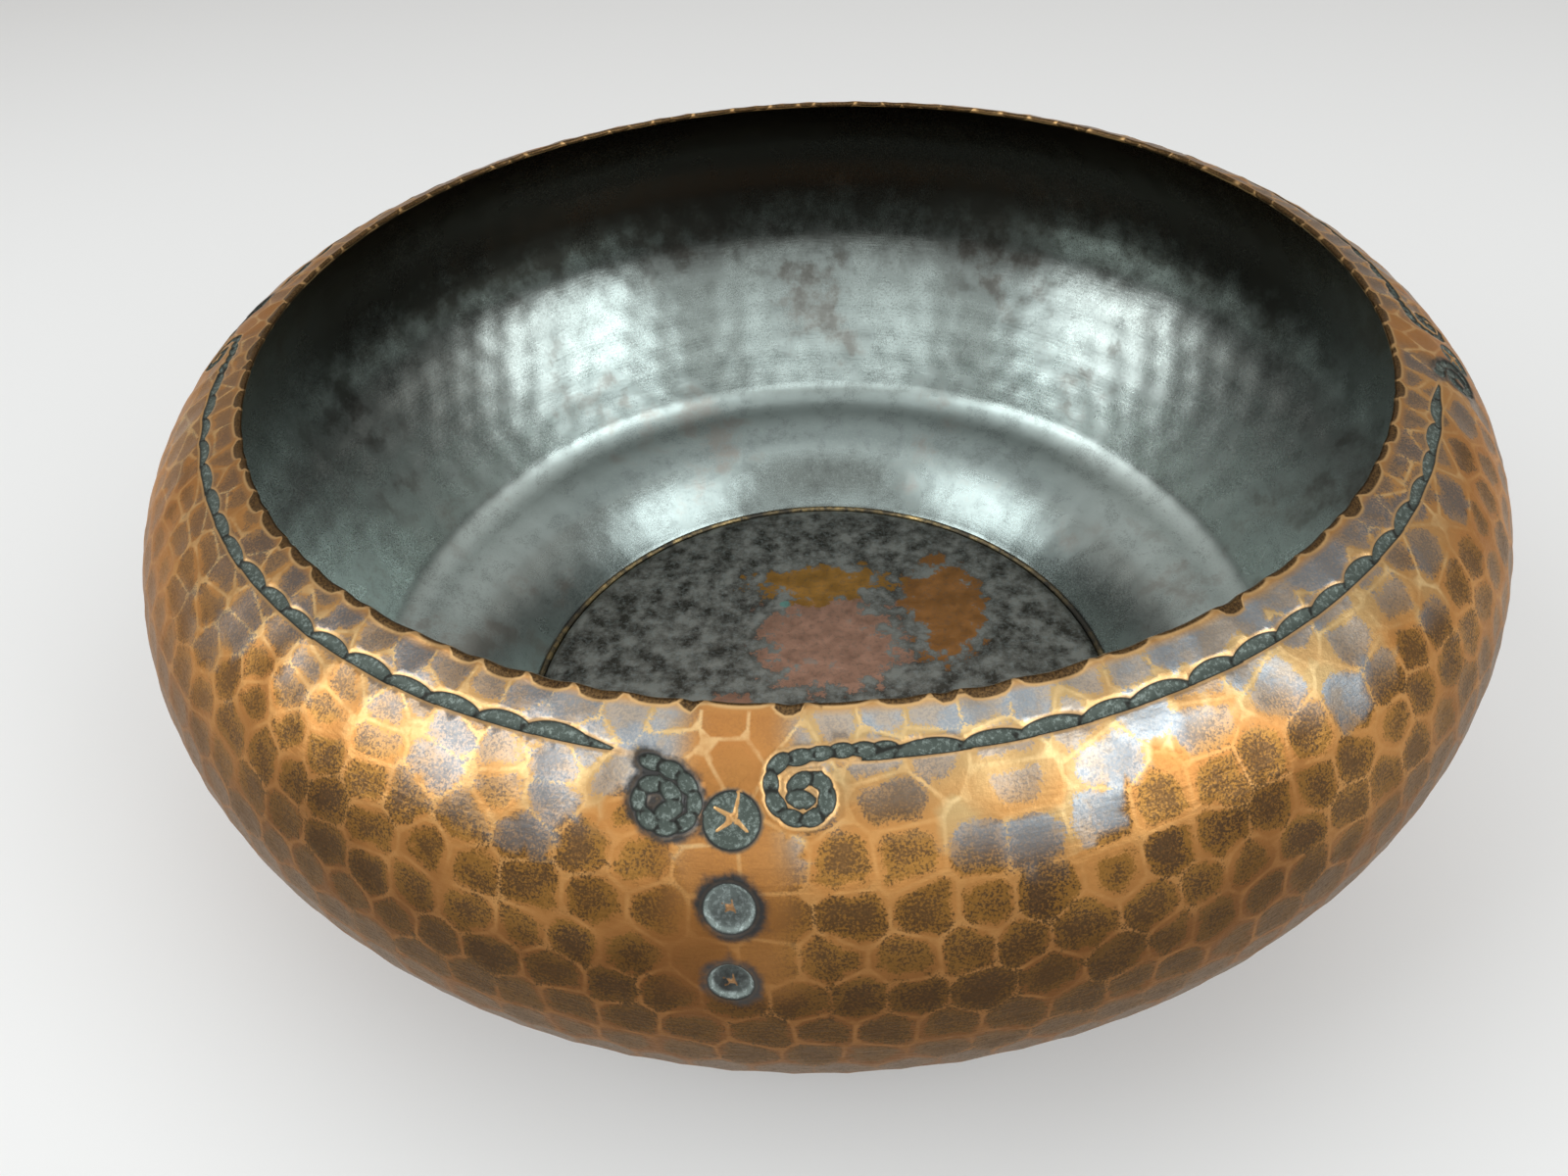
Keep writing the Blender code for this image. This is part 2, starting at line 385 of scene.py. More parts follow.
def inside_mark(one, x, y):
    """How far points lie inside a mark, negative outside it, in metres on the bowl."""
    dx, dy = round_turn(x, one["x"]) / one["stretch"], y - one["y"]
    cos, sin = math.cos(one["turn"]), math.sin(one["turn"])
    u, v = dx * cos + dy * sin, -dx * sin + dy * cos
    if one["kind"] == "leaf":
        inside = np.minimum(-v, (leaf_height(one, u) + v) * 0.9)
        return np.where(np.abs(u) < one["a"], inside, np.minimum(inside, one["a"] - np.abs(u)))
    reach = np.sqrt((u / one["a"]) ** 2 + (v / one["b"]) ** 2)
    depth = (1 - reach) * min(one["a"], one["b"])
    return np.minimum(depth, -v) if one["kind"] == "moon" else depth


def mark_edge(one, inset, spacing):
    """Flat points along a mark's edge, moved inwards by inset."""
    a, b = one["a"] - inset, one["b"] - inset
    if min(a, b) < 0.0003:
        return np.empty((0, 2))
    if one["kind"] == "leaf":
        run = np.arange(-a, a, spacing)
        curved = np.minimum(inset - leaf_height(one, run), -inset)
        u, v = np.concatenate([run, run]), np.concatenate([np.full(len(run), -inset), curved])
    else:
        sweep = math.pi if one["kind"] == "moon" else 2 * math.pi
        count = max(8, round(sweep * (a + b) / 2 / spacing))
        angles = -np.linspace(0, sweep, count, endpoint=False)
        u, v = a * np.cos(angles), b * np.sin(angles)
    if one["kind"] == "moon":
        v = np.minimum(v, -inset)
        straight = np.arange(-a, a, spacing)
        u, v = np.concatenate([u, straight]), np.concatenate([v, np.full(len(straight), -inset)])
    cos, sin = math.cos(one["turn"]), math.sin(one["turn"])
    x = one["x"] + (u * cos - v * sin) * one["stretch"]
    return np.stack([x % sheet_width, one["y"] + u * sin + v * cos], axis=1)


def near_mark(one, x, y, margin):
    """Indices of the points that are close enough to a mark to be touched by it."""
    dx = np.abs(round_turn(x, one["x"]))
    reach = max(one["a"], one["b"]) + margin
    return np.nonzero((dx < reach * one["stretch"]) & (np.abs(y - one["y"]) < reach))[0]


def smooth(value):
    """A soft step from 0 to 1."""
    value = np.clip(value, 0, 1)
    return value * value * (3 - 2 * value)


def chase(x, y):
    """Depth of the chasing at flat points, how far they lie in it and in its last stroke, stain and cups."""
    depth, stain, cup = np.zeros(len(x)), np.zeros(len(x)), np.zeros(len(x))
    in_chasing, in_stroke = np.full(len(x), -MARK_REACH), np.full(len(x), -MARK_REACH)
    for one in marks:
        near = near_mark(one, x, y, STAIN_REACH)
        inside = inside_mark(one, x[near], y[near])
        side = CUP_WIDTH if one["kind"] == "disc" else WALL_WIDTH
        depth[near] = np.maximum(depth[near], one["depth"] * smooth(inside / side + 0.1))
        in_chasing[near] = np.maximum(in_chasing[near], inside)
        in_stroke[near] = np.where(inside > -ON_EDGE, np.clip(inside, 0, MARK_REACH),
                                   np.maximum(in_stroke[near], inside))
        if one["depth"] > SCROLL_DEPTH:
            cup[near] = np.maximum(cup[near], smooth(inside / CUP_WIDTH))
        if one["halo"]:
            stain[near] = np.maximum(stain[near], smooth(1 + inside / one["halo"]))
    depth *= 1 - SEAM_RISE * smooth(1 - in_stroke / SEAM_WIDTH) * (in_chasing > WALL_WIDTH)
    for start, tip, width in star_arms:
        start, tip = np.array(start), np.array(tip)
        points = np.stack([round_turn(x, start[0]), y - start[1]], axis=1)
        arm = tip - start
        share = np.clip(points @ arm / (arm @ arm), 0, 1)
        away = np.linalg.norm(points - share[:, None] * arm, axis=1) - width * (1.1 - 0.7 * share)
        depth *= 1 - STAR_RISE * smooth(1 - away / STAR_SIDE)
        stain *= 1 - smooth(1.3 - away / STAR_SIDE)
        in_chasing = np.where(in_chasing > 0, np.minimum(in_chasing, away), in_chasing)
    in_chasing, in_stroke = (np.clip(gap, -MARK_REACH, MARK_REACH) for gap in (in_chasing, in_stroke))
    return depth, in_chasing, in_stroke, stain, cup


# ---------------------------------------------------------------- the flat sheet
# The sheet unrolled flat, as one mesh: fine where the marks and the ridges are, with corners along every
# ridge and mark, and coarser inside the bowl.  Its two ends are joined where the turn closes.

RIDGE_SPACING = 0.00125
FILL_SPACING = 0.0021
MARK_SPACING = 0.00055
INSIDE_SPACING = 0.0027
EDGE_SPACING = 0.0013
FINE_END = 0.135             # beyond this distance from the mouth the outside is coarser
EDGE_CLEARANCE = 0.0005      # points keep this far from the sheet's border
MARK_GAP = 0.00030           # how far points of a kind keep from those laid before them
STAR_SPACING = 0.0003
STAR_GAP = 0.00022
RIDGE_GAP = 0.00055
FILL_GAP = 0.000972
CELL = 0.001                 # the thinning looks for near points in squares of this size
LIP_ROWS = (0.0006, 0.0013, 0.0021)    # extra rows of points beside the mouth


def along_lines(lines, spacing):
    """Points spaced along lines, their ends included."""
    points = []
    for start, end in lines:
        steps = max(1, round(float(np.linalg.norm(end - start)) / spacing))
        points += [start + (end - start) * step / steps for step in range(steps + 1)]
    return np.array(points)


def honeycomb(low, high, spacing, dice):
    """Points of a slightly shaken triangular grid between two distances along the outline."""
    across = round(sheet_width / spacing)
    pitch = spacing * math.sqrt(3) / 2
    rows = max(1, round((high - low) / pitch))
    grid = np.array([((column + 0.5 * (row % 2) + 0.25) * sheet_width / across,
                      low + (row + 0.5) * (high - low) / rows)
                     for row in range(rows) for column in range(across)])
    return grid + dice.uniform(-0.12, 0.12, grid.shape) * spacing


def thinned(points, gaps):
    """Indices of the points, in order, that keep their gap from those kept before them."""
    cells, kept = {}, []
    for index, (x, y) in enumerate(points):
        column, row, reach = int(x / CELL), int(y / CELL), int(gaps[index] / CELL) + 1
        near = (points[other] for dx in range(-reach, reach + 1) for dy in range(-reach, reach + 1)
                for other in cells.get((column + dx, row + dy), ()))
        if all(math.dist((x, y), other) >= gaps[index] for other in near):
            cells.setdefault((column, row), []).append(index)
            kept.append(index)
    return np.array(kept)


def flat_points():
    """All points of the flat sheet but its border, most important first."""
    dice = np.random.default_rng(3)
    edges, gaps = [], []

    def add(points, gap):
        """Note points with the gap that they keep."""
        edges.append(points)
        gaps.append(np.full(len(points), gap))

    for one in marks:
        insets = range(8) if one["kind"] == "disc" else range(2)
        for inset in insets:
            add(mark_edge(one, inset * WALL_WIDTH, MARK_SPACING), MARK_GAP)
    arms = [(np.array(start), np.array(tip)) for start, tip, _ in star_arms]
    add(along_lines(arms, STAR_SPACING), STAR_GAP)
    count = round(sheet_width / EDGE_SPACING)
    columns = np.arange(count) * sheet_width / count + 0.4 * EDGE_SPACING
    mouth_rows = (inner_end - 0.0022, inner_end - 0.0011, inner_end, (inner_end + sheet_length) / 2)
    for distance in LIP_ROWS + mouth_rows:
        add(np.stack([columns, np.full(count, distance)], axis=1), 0.0006)
    high_up = ridges[:, :, 1].mean(axis=1) <= FINE_END
    add(along_lines(ridges[high_up], RIDGE_SPACING), RIDGE_GAP)
    add(along_lines(ridges[~high_up], RIDGE_SPACING * 1.5), 0.0009)
    fine = honeycomb(0.0055, 0.046, 0.00085, dice)
    close = np.zeros(len(fine), bool)
    for one in marks:
        near = near_mark(one, fine[:, 0], fine[:, 1], 0.002)
        close[near] |= inside_mark(one, fine[near, 0], fine[near, 1]) > -0.0012
    add(fine[close], 0.0005)
    add(honeycomb(0.001, FINE_END, FILL_SPACING, dice), FILL_GAP)
    add(honeycomb(FINE_END, outer_end, FILL_SPACING * 1.35, dice), 0.0014)
    add(honeycomb(inner_start + 0.001, inner_end - 0.001, INSIDE_SPACING, dice), 0.0016)
    points, gaps = np.vstack(edges), np.concatenate(gaps)
    points[:, 0] %= sheet_width
    size = np.array((sheet_width, sheet_length))
    clear = ((points > EDGE_CLEARANCE) & (points < size - EDGE_CLEARANCE)).all(axis=1)
    clear &= (points[:, 1] <= outer_end - 0.0006) | (points[:, 1] >= inner_start + 0.0008)
    points, gaps = points[clear], gaps[clear]
    return points[thinned(points, gaps)]


def border_points():
    """Points on the flat sheet's border and on the lap's two edges, which have to stay where they are."""
    columns = round(sheet_width / EDGE_SPACING)
    across = np.arange(columns + 1) * sheet_width / columns
    rows = [np.stack([across, np.full(columns + 1, distance)], axis=1)
            for distance in (0.0, outer_end, inner_start, sheet_length)]
    down = np.concatenate([np.linspace(0, outer_end, round(outer_end / EDGE_SPACING))[1:-1],
                           np.linspace(inner_start, sheet_length, round(outer_end / INSIDE_SPACING))[1:-1]])
    sides = [np.stack([np.full(len(down), x), down], axis=1) for x in (0.0, sheet_width)]
    return np.vstack(rows + sides)


flat = np.vstack([border_points(), flat_points()])
flat_faces = triangles_between(flat)


# ---------------------------------------------------------------- raising the sheet
# A Geometry Nodes tree sinks each blow into the flat sheet, presses the chasing in, and wraps the sheet
# round the outline.  The result is the bowl's wall as one closed shell.

DISH_CURVE = 12.5            # how fast a flat rises towards its ridges, per metre
RIDGE_HEIGHT = 0.00031       # a full ridge above the middle of a blow
RIDGE_SOFTNESS = 0.00005
INSIDE_RIPPLE = 0.65         # share of the outside's relief that shows through inside
LIP_FLAT = 0.0088            # length of the flats hammered along the mouth's edge
LIP_DROP = 0.00028           # how far its deepest flat is beaten down, and how far from the edge that shows
LIP_REACH = 0.0045
LIP_FACET = 0.0026           # how far its deepest dark facet reaches down
QUIET_SHARE = 0.8            # share of the relief that is missing around a motif


class Result:
    """One result of a node.  Where it is a number, it can be added, subtracted and multiplied."""

    def __init__(self, socket):
        self.socket = socket
        self.tree = socket.id_data

    def __add__(self, other):
        return calc('ADD', self, other)

    def __sub__(self, other):
        return calc('SUBTRACT', self, other)

    def __rsub__(self, other):
        return calc('SUBTRACT', other, self)

    def __mul__(self, other):
        return calc('MULTIPLY', self, other)


def fill(node, values):
    """Fill a node's inputs with plain values or with other nodes' results."""
    for key, value in dict(values).items():
        if isinstance(value, Result):
            value.tree.links.new(value.socket, node.inputs[key])
        else:
            node.inputs[key].default_value = value


def results(node):
    """All results of a node, by name."""
    return {socket.name: Result(socket) for socket in node.outputs}


def add_node(tree, kind, values=(), **settings):
    """Add a node, set it up and fill its inputs."""
    node = tree.nodes.new(kind)
    for name, setting in settings.items():
        setattr(node, name, setting)
    fill(node, values)
    return node


def place(tree, kind, values=(), out=0, **settings):
    """One result of a new node."""
    return Result(add_node(tree, kind, values, **settings).outputs[out])


def calc(operation, *values):
    """The result of a Math node."""
    tree = next(value.tree for value in values if isinstance(value, Result))
    return place(tree, 'ShaderNodeMath', enumerate(values), operation=operation)


def split(point):
    """The X, Y and Z of a point, by name."""
    return results(add_node(point.tree, 'ShaderNodeSeparateXYZ', {0: point}))


def mesh_object(name, points, edges=(), faces=(), **numbers):
    """A mesh object with a number for each point under each of the given names."""
    mesh = bpy.data.meshes.new(name)
    mesh.from_pydata([tuple(point) for point in points], edges, [tuple(face) for face in faces])
    for key, values in numbers.items():
        mesh.attributes.new(key, 'FLOAT', 'POINT').data.foreach_set("value", np.asarray(values, np.float32))
    made = bpy.data.objects.new(name, mesh)
    bpy.context.collection.objects.link(made)
    return made


def raising_tree():
    """The tree that planishes the flat sheet and wraps it round the outline."""
    tree = bpy.data.node_groups.new("raise and planish the sheet", 'GeometryNodeTree')
    sockets = tree.interface
    sockets.new_socket("Wall", in_out='OUTPUT', socket_type='NodeSocketGeometry')
    for kind, names in (('Geometry', ("Sheet",)), ('Object', ("Outline", "Blows", "Ridges")),
                        ('Float', ("Dish Curve", "Ridge Height", "Ridge Softness", "Unroll Radius")),
                        ('Material', ("Metal",))):
        for name in names:
            sockets.new_socket(name, in_out='INPUT', socket_type='NodeSocket' + kind)
    given = results(tree.nodes.new('NodeGroupInput'))

    def attribute(name):
        """A number stored on the points."""
        return place(tree, 'GeometryNodeInputNamedAttribute', {"Name": name}, "Attribute", data_type='FLOAT')

    def shape_of(name):
        """The mesh of one of the given objects."""
        return place(tree, 'GeometryNodeObjectInfo', {"Object": given[name]}, "Geometry")

    flat_spot = split(place(tree, 'GeometryNodeInputPosition'))
    blow_cloud, ridge_net = shape_of("Blows"), shape_of("Ridges")
    # The flat left by the nearest blow, and its soft limit at the sheet's own surface.
    reach = place(tree, 'GeometryNodeProximity', {0: blow_cloud}, "Distance", target_element='POINTS')
    sunk = reach * reach * given["Dish Curve"] - given["Ridge Height"]
    sunk = calc('MINIMUM', calc('SMOOTH_MIN', sunk, 0.0, given["Ridge Softness"]), 0.0)
    height = sunk * attribute("planish") - attribute("chase_depth")
    # What the material needs: the way to the nearest ridge, and a shade for each blow.
    ridge_gap = place(tree, 'GeometryNodeProximity', {0: ridge_net}, "Distance", target_element='EDGES')
    nearest = place(tree, 'GeometryNodeSampleNearest', {0: blow_cloud}, domain='POINT')
    shade = place(tree, 'GeometryNodeSampleIndex', {"Geometry": blow_cloud, "Value": attribute("shade"),
                                                    "Index": nearest}, data_type='FLOAT', domain='POINT')
    # The wrap, with the mouth's edge beaten down and outwards.
    rail = place(tree, 'GeometryNodeMeshToCurve', {0: shape_of("Outline")})
    on_rail = results(add_node(tree, 'GeometryNodeSampleCurve', {"Curves": rail, "Length": flat_spot["Y"]},
                               mode='LENGTH', use_all_curves=True))
    rail_spot, rail_way = split(on_rail["Position"]), split(on_rail["Tangent"])
    radius = rail_spot["X"] - rail_way["Z"] * height + attribute("lip_drop")
    level = rail_spot["Z"] + rail_way["X"] * height - attribute("lip_drop")
    turn = calc('DIVIDE', flat_spot["X"], given["Unroll Radius"])
    across, back = radius * calc('SINE', turn), radius * calc('COSINE', turn) * -1.0
    wrapped = place(tree, 'ShaderNodeCombineXYZ', {0: across, 1: back, 2: level})
    shape = given["Sheet"]
    for name, value in (("ridge_gap", ridge_gap), ("blow_gap", reach), ("shade", shade)):
        shape = place(tree, 'GeometryNodeStoreNamedAttribute',
                      {"Geometry": shape, "Name": name, "Value": value}, data_type='FLOAT', domain='POINT')
    shape = place(tree, 'GeometryNodeSetPosition', {"Geometry": shape, "Position": wrapped})
    shape = place(tree, 'GeometryNodeMergeByDistance', {"Geometry": shape, "Distance": 0.000002})
    shape = place(tree, 'GeometryNodeRealizeInstances', {0: shape})
    shape = place(tree, 'GeometryNodeSetMaterial', {"Geometry": shape, "Material": given["Metal"]})
    add_node(tree, 'NodeGroupOutput', {0: shape})
    return tree


def made_by_nodes(name, source, tree, values):
    """Run a tree on an object and keep the result as a plain mesh object of the given name."""
    modifier = source.modifiers.new("Making", 'NODES')
    modifier.node_group = tree
    for item in tree.interface.items_tree:
        if item.in_out == 'INPUT' and item.name in values:
            modifier[item.identifier] = values[item.name]
    bpy.context.view_layer.update()
    evaluated = source.evaluated_get(bpy.context.evaluated_depsgraph_get())
    mesh = bpy.data.meshes.new_from_object(evaluated)
    mesh.name = name
    made = bpy.data.objects.new(name, mesh)
    bpy.context.collection.objects.link(made)
    return made


def discard(*helpers):
    """Remove objects that only served to make others."""
    for helper in helpers:
        bpy.data.objects.remove(helper, do_unlink=True)


def lip_flats(x):
    """How far the mouth's edge is beaten down round the turn, and how far its dark facets reach down."""
    dice = np.random.default_rng(11)
    count = round(sheet_width / LIP_FLAT)
    starts = (np.arange(count) + dice.uniform(-0.40, 0.40, count)) * sheet_width / count
    starts = np.concatenate([starts, starts[:1] + sheet_width])
    depths = dice.uniform(0.35, 1.0, count)
    x = (x - starts[0]) % sheet_width + starts[0]
    which = np.clip(np.searchsorted(starts, x, side="right") - 1, 0, count - 1)
    share = (x - starts[which]) / (starts[which + 1] - starts[which])
    drop = LIP_DROP * depths[which] * (1 - np.cos(2 * math.pi * share)) / 2
    facet = 1 - ((2 * share - 1) / 0.90) ** 4
    return drop, LIP_FACET * (depths[which] - 0.20) * np.sqrt(np.maximum(facet, 0.0)) - 0.00015


flat_x, flat_y = flat[:, 0], flat[:, 1]
chase_depth, in_chasing, in_stroke, stain, cup = chase(flat_x, flat_y)
is_inside = flat_y > outer_end + SHEET / 2
from_lip = np.minimum(flat_y, sheet_length - flat_y)
lip_beat, facet_reach = lip_flats(flat_x)
lip_drop = lip_beat * smooth(1 - from_lip / LIP_REACH)
lip = smooth(1.3 - from_lip / 0.0015)
out_of_lip = np.where(is_inside, np.maximum(inner_end + 0.0003 - flat_y, 0.0), flat_y)
lip_scallop = facet_reach - np.where(is_inside, 3.0, 1.0) * out_of_lip
lip_scallop = np.clip(lip_scallop, -MARK_REACH, MARK_REACH)
inner_crease = outline_length[len(outer_line) - 1 + int(np.argmin(np.hypot(*(inner_line - CREASE).T)))]
ripple = INSIDE_RIPPLE * (0.35 + 0.65 * smooth((flat_y - inner_crease) / 0.012))
planish = np.where(is_inside, ripple, 1.0) * smooth(from_lip / 0.0013)
planish *= smooth(np.abs(flat_y - outer_end) / 0.003)
quiet_share = np.zeros(len(flat))
for motif in MOTIF_TURNS:
    aside = np.abs(round_turn(flat_x, motif * UNROLL_RADIUS))
    quiet = smooth(1.6 * (1 - aside / QUIET_RADIUS)) * smooth((QUIET_DEPTH - flat_y) / 0.006)
    planish *= 1 - QUIET_SHARE * quiet * smooth((flat_y - 0.006) / 0.004)
    quiet_share = np.maximum(quiet_share, quiet)
in_bowl = smooth((flat_y - inner_start) / 0.004) * smooth((inner_end - 0.0003 - flat_y) / 0.0010)

blow_shades = np.random.default_rng(5).random(len(blows))
sheet = mesh_object("flat sheet", np.column_stack([flat, np.zeros(len(flat))]), faces=flat_faces,
                    planish=planish, chase_depth=chase_depth * (1 - is_inside), lip_drop=lip_drop,
                    in_chasing=in_chasing, in_stroke=in_stroke, stain=stain, cup=cup,
                    lip=lip, lip_scallop=lip_scallop, quiet=quiet_share, in_bowl=in_bowl)
wrapped_blows = with_wrapped_copies(np.column_stack([blows, blow_shades]))
blow_cloud = mesh_object("blows", wrapped_blows[:, :3], shade=wrapped_blows[:, 3])
ridge_points = np.column_stack([ridges.reshape(-1, 2), np.zeros(2 * len(ridges))])
ridge_net = mesh_object("ridges", ridge_points, edges=[(2 * i, 2 * i + 1) for i in range(len(ridges))])
rail = mesh_object("outline", [(radius, 0.0, height) for radius, height in outline],
                   edges=[(i, (i + 1) % len(outline)) for i in range(len(outline))])


# ---------------------------------------------------------------- the wall's metal
# Copper with a brown patina in the flats, rubbed bright along the ridges; grey-green dirt in the chasing,
# and a blue-grey patina inside.  Painted shade darkens the outside low down, and the inside towards the
# mouth, on its stepped bottom and at its crease; a painted sheen and highlights brighten the band below the
# mouth, the chasing's edges and the inside's sides.

# Of these bands, the steel band is partly a painted sheen, and the belly, mouth, bottom and crease bands are
# painted shade.
STEEL_AND_SHEEN_BAND = (0.1240, 0.1320)        # heights over which the patina turns steel-grey below the mouth
PAINTED_SHADE_BELLY = (0.127, 0.104)          # heights over which the outside darkens downwards
PAINTED_SHADE_MOUTH = (0.040, 0.098)          # heights over which the inside darkens upwards
PAINTED_SHADE_BOTTOM = (0.030, 0.023)         # heights over which the stepped bottom darkens
DULL_AND_SHADED_ABOVE = (0.0350, 0.0315)        # the crease is dull between these heights
DULL_AND_SHADED_BELOW = (0.0215, 0.0250)
TO_FRONT = (0.0, -0.125)             # from the middle to the front the patina covers more and is paler
PATINA_RADIUS = 0.0058               # patina reaches this far from a blow's middle
COVER_START = (0.0010, 0.0017)       # patina covers the copper this far from a ridge
CREST_WIDTH = (0.00005, 0.00050)     # half of a ridge's rubbed crest
SCOUR_STRETCH = (0.12, 0.12, 1.0)    # scouring marks are long round the bowl and close together up it
SCOUR_SCALE = 1600.0


def aged_metal_group():
    """Clouds, specks and grain of old metal, from a point on the piece."""
    tree = bpy.data.node_groups.new("aged metal", 'ShaderNodeTree')
    sockets = tree.interface
    sockets.new_socket("Point", in_out='INPUT', socket_type='NodeSocketVector')
    for name in ("Cloud Scale", "Speck Scale"):
        sockets.new_socket(name, in_out='INPUT', socket_type='NodeSocketFloat')
    for name in ("Clouds", "Blotches", "Specks", "Grains", "Grain"):
        sockets.new_socket(name, in_out='OUTPUT', socket_type='NodeSocketFloat')
    given = results(tree.nodes.new('NodeGroupInput'))

    def noise(scale, detail, roughness):
        """Noise over the piece."""
        return place(tree, 'ShaderNodeTexNoise', {"Vector": given["Point"], "Scale": scale, "Detail": detail,
                                                  "Roughness": roughness})

    def contrast(value, low, high):
        """The part of a noise between two limits, stretched from 0 to 1."""
        return place(tree, 'ShaderNodeMapRange', {0: value, 1: low, 2: high})

    blotches = noise(given["Cloud Scale"] * 5.0, 5.0, 0.68)
    specks = noise(given["Speck Scale"], 4.0, 0.75)
    add_node(tree, 'NodeGroupOutput', {
        "Clouds": contrast(noise(given["Cloud Scale"], 3.0, 0.6), 0.36, 0.64),
        "Blotches": contrast(blotches, 0.38, 0.62),
        "Specks": contrast(specks, 0.50, 0.63),
        "Grains": contrast(noise(given["Speck Scale"] * 2.0, 2.0, 0.6), 0.36, 0.64),
        "Grain": specks + blotches * 2.0,
    })
    return tree


aged_metal = aged_metal_group()


def new_material(name):
    """A new material and its shader."""
    material = bpy.data.materials.new(name)
    material.use_nodes = True
    return material, material.node_tree.nodes["Principled BSDF"]


def old_metal(name, cloud_scale, speck_scale=900.0):
    """A new metal: its material, its shader, the point on the piece, and its marks of age by name."""
    material, shader = new_material(name)
    point = place(material.node_tree, 'ShaderNodeTexCoord', out="Object")
    age = add_node(material.node_tree, 'ShaderNodeGroup', node_tree=aged_metal)
    fill(age, {"Point": point, "Cloud Scale": cloud_scale, "Speck Scale": speck_scale})
    return material, shader, point, results(age)


def blend(share, first, second):
    """Mix two colours, each plain or mixed itself, by a share that varies over the surface."""
    first, second = ((*value, 1.0) if isinstance(value, tuple) else value for value in (first, second))
    return place(share.tree, 'ShaderNodeMix', {0: share, 6: first, 7: second}, 2, data_type='RGBA')


def layered(colour, *layers):
    """A colour with others laid over it one after another, each given with its share."""
    for share, over in layers:
        colour = blend(share, colour, over)
    return colour


def between(share, first, second):
    """Mix two plain numbers by a share that varies over the surface."""
    return place(share.tree, 'ShaderNodeMapRange', {0: share, 3: first, 4: second})


def blend_numbers(share, first, second):
    """Mix two numbers, each plain or varying, by a share that varies over the surface."""
    return place(share.tree, 'ShaderNodeMix', {0: share, 2: first, 3: second})


def step_over(value, low, high):
    """A soft step from 0 at low to 1 at high."""
    return place(value.tree, 'ShaderNodeMapRange', {0: value, 1: low, 2: high},
                 interpolation_type='SMOOTHSTEP')


def relief(height, strength, distance):
    """The fine relief of a surface."""
    return place(height.tree, 'ShaderNodeBump',
                 {"Strength": strength, "Distance": distance, "Height": height})


